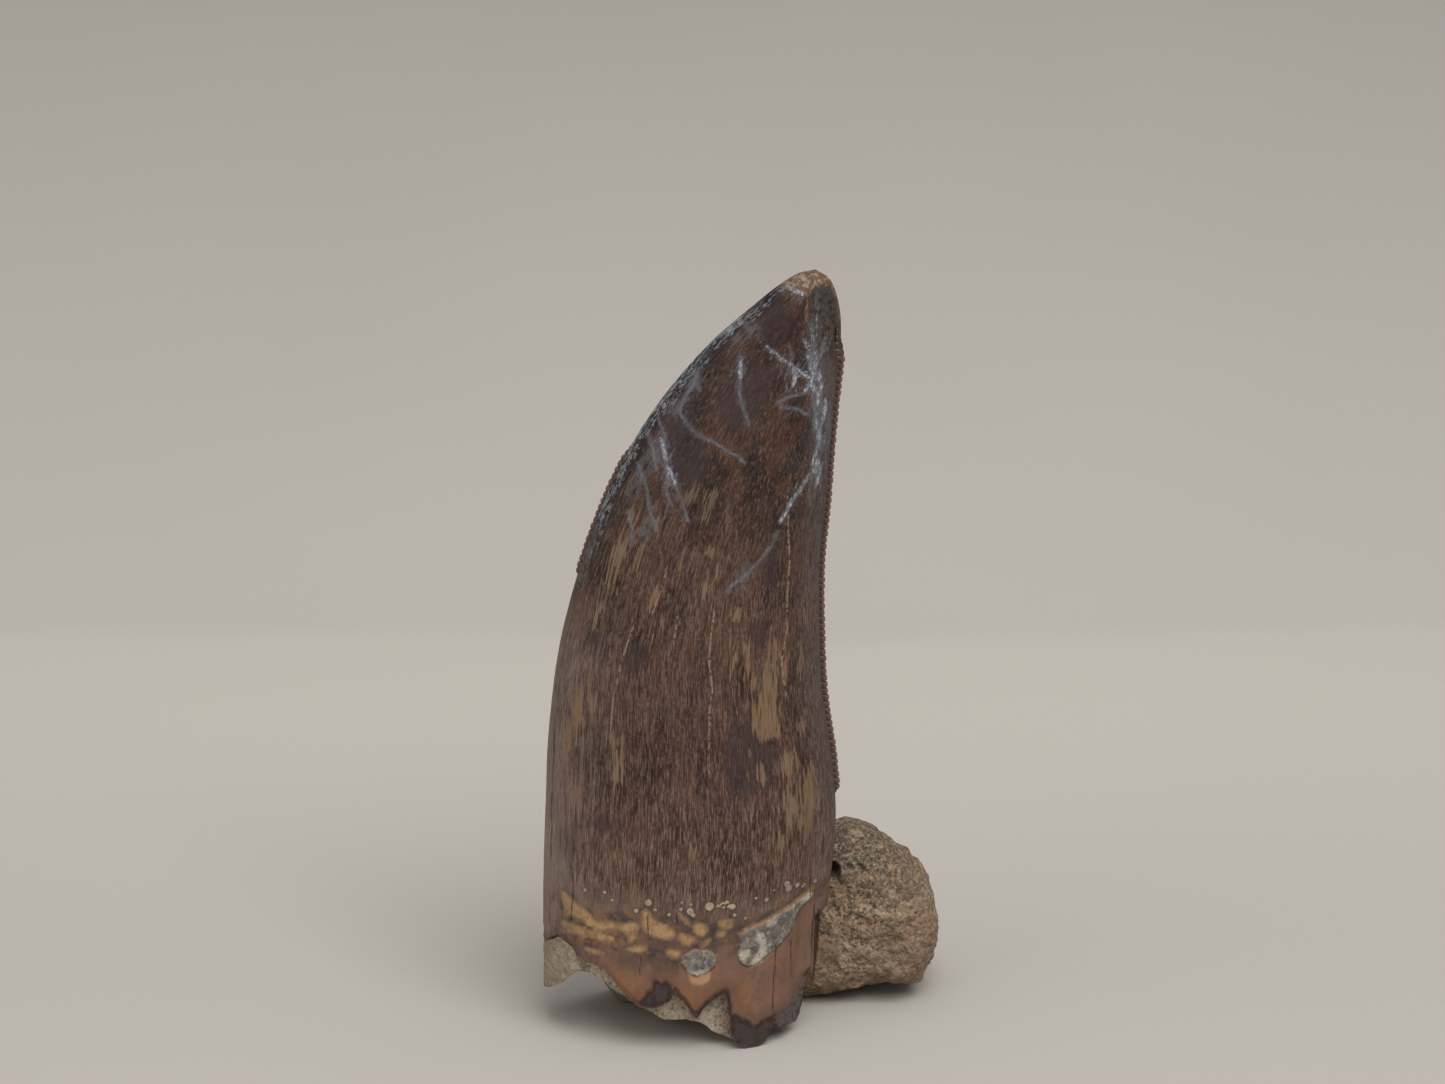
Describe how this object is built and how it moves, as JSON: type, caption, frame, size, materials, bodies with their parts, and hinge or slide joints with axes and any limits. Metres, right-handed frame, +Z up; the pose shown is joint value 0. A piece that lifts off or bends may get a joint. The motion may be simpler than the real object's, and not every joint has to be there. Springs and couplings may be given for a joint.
{
  "type": "fossil dinosaur tooth",
  "caption": "Curved, blade-like fossil tooth with saw edges and a jagged broken root, plugged with sediment and propped upright by a lump of sandstone matrix.",
  "frame": {"origin": "under the middle of the bounding box, on the surface the specimen stands on", "axes": "+Z up along the tooth to its tip, +X towards the rear saw edge and the sandstone lump, -Y out of the tooth's outer face"},
  "size_m": [0.0399, 0.028, 0.0755],
  "materials": {
    "tooth": "polished dark brown fossil enamel with long tan streaks, over orange-brown dentine at the root",
    "plug": "fine grey-beige sediment, matt",
    "sandstone": "coarse brown sandstone with dark and orange grains, matt"
  },
  "bodies": {
    "root": {"tooth": "tooth", "matrix_plug": "plug", "sandstone_lump": "sandstone"}
  },
  "joints": []
}
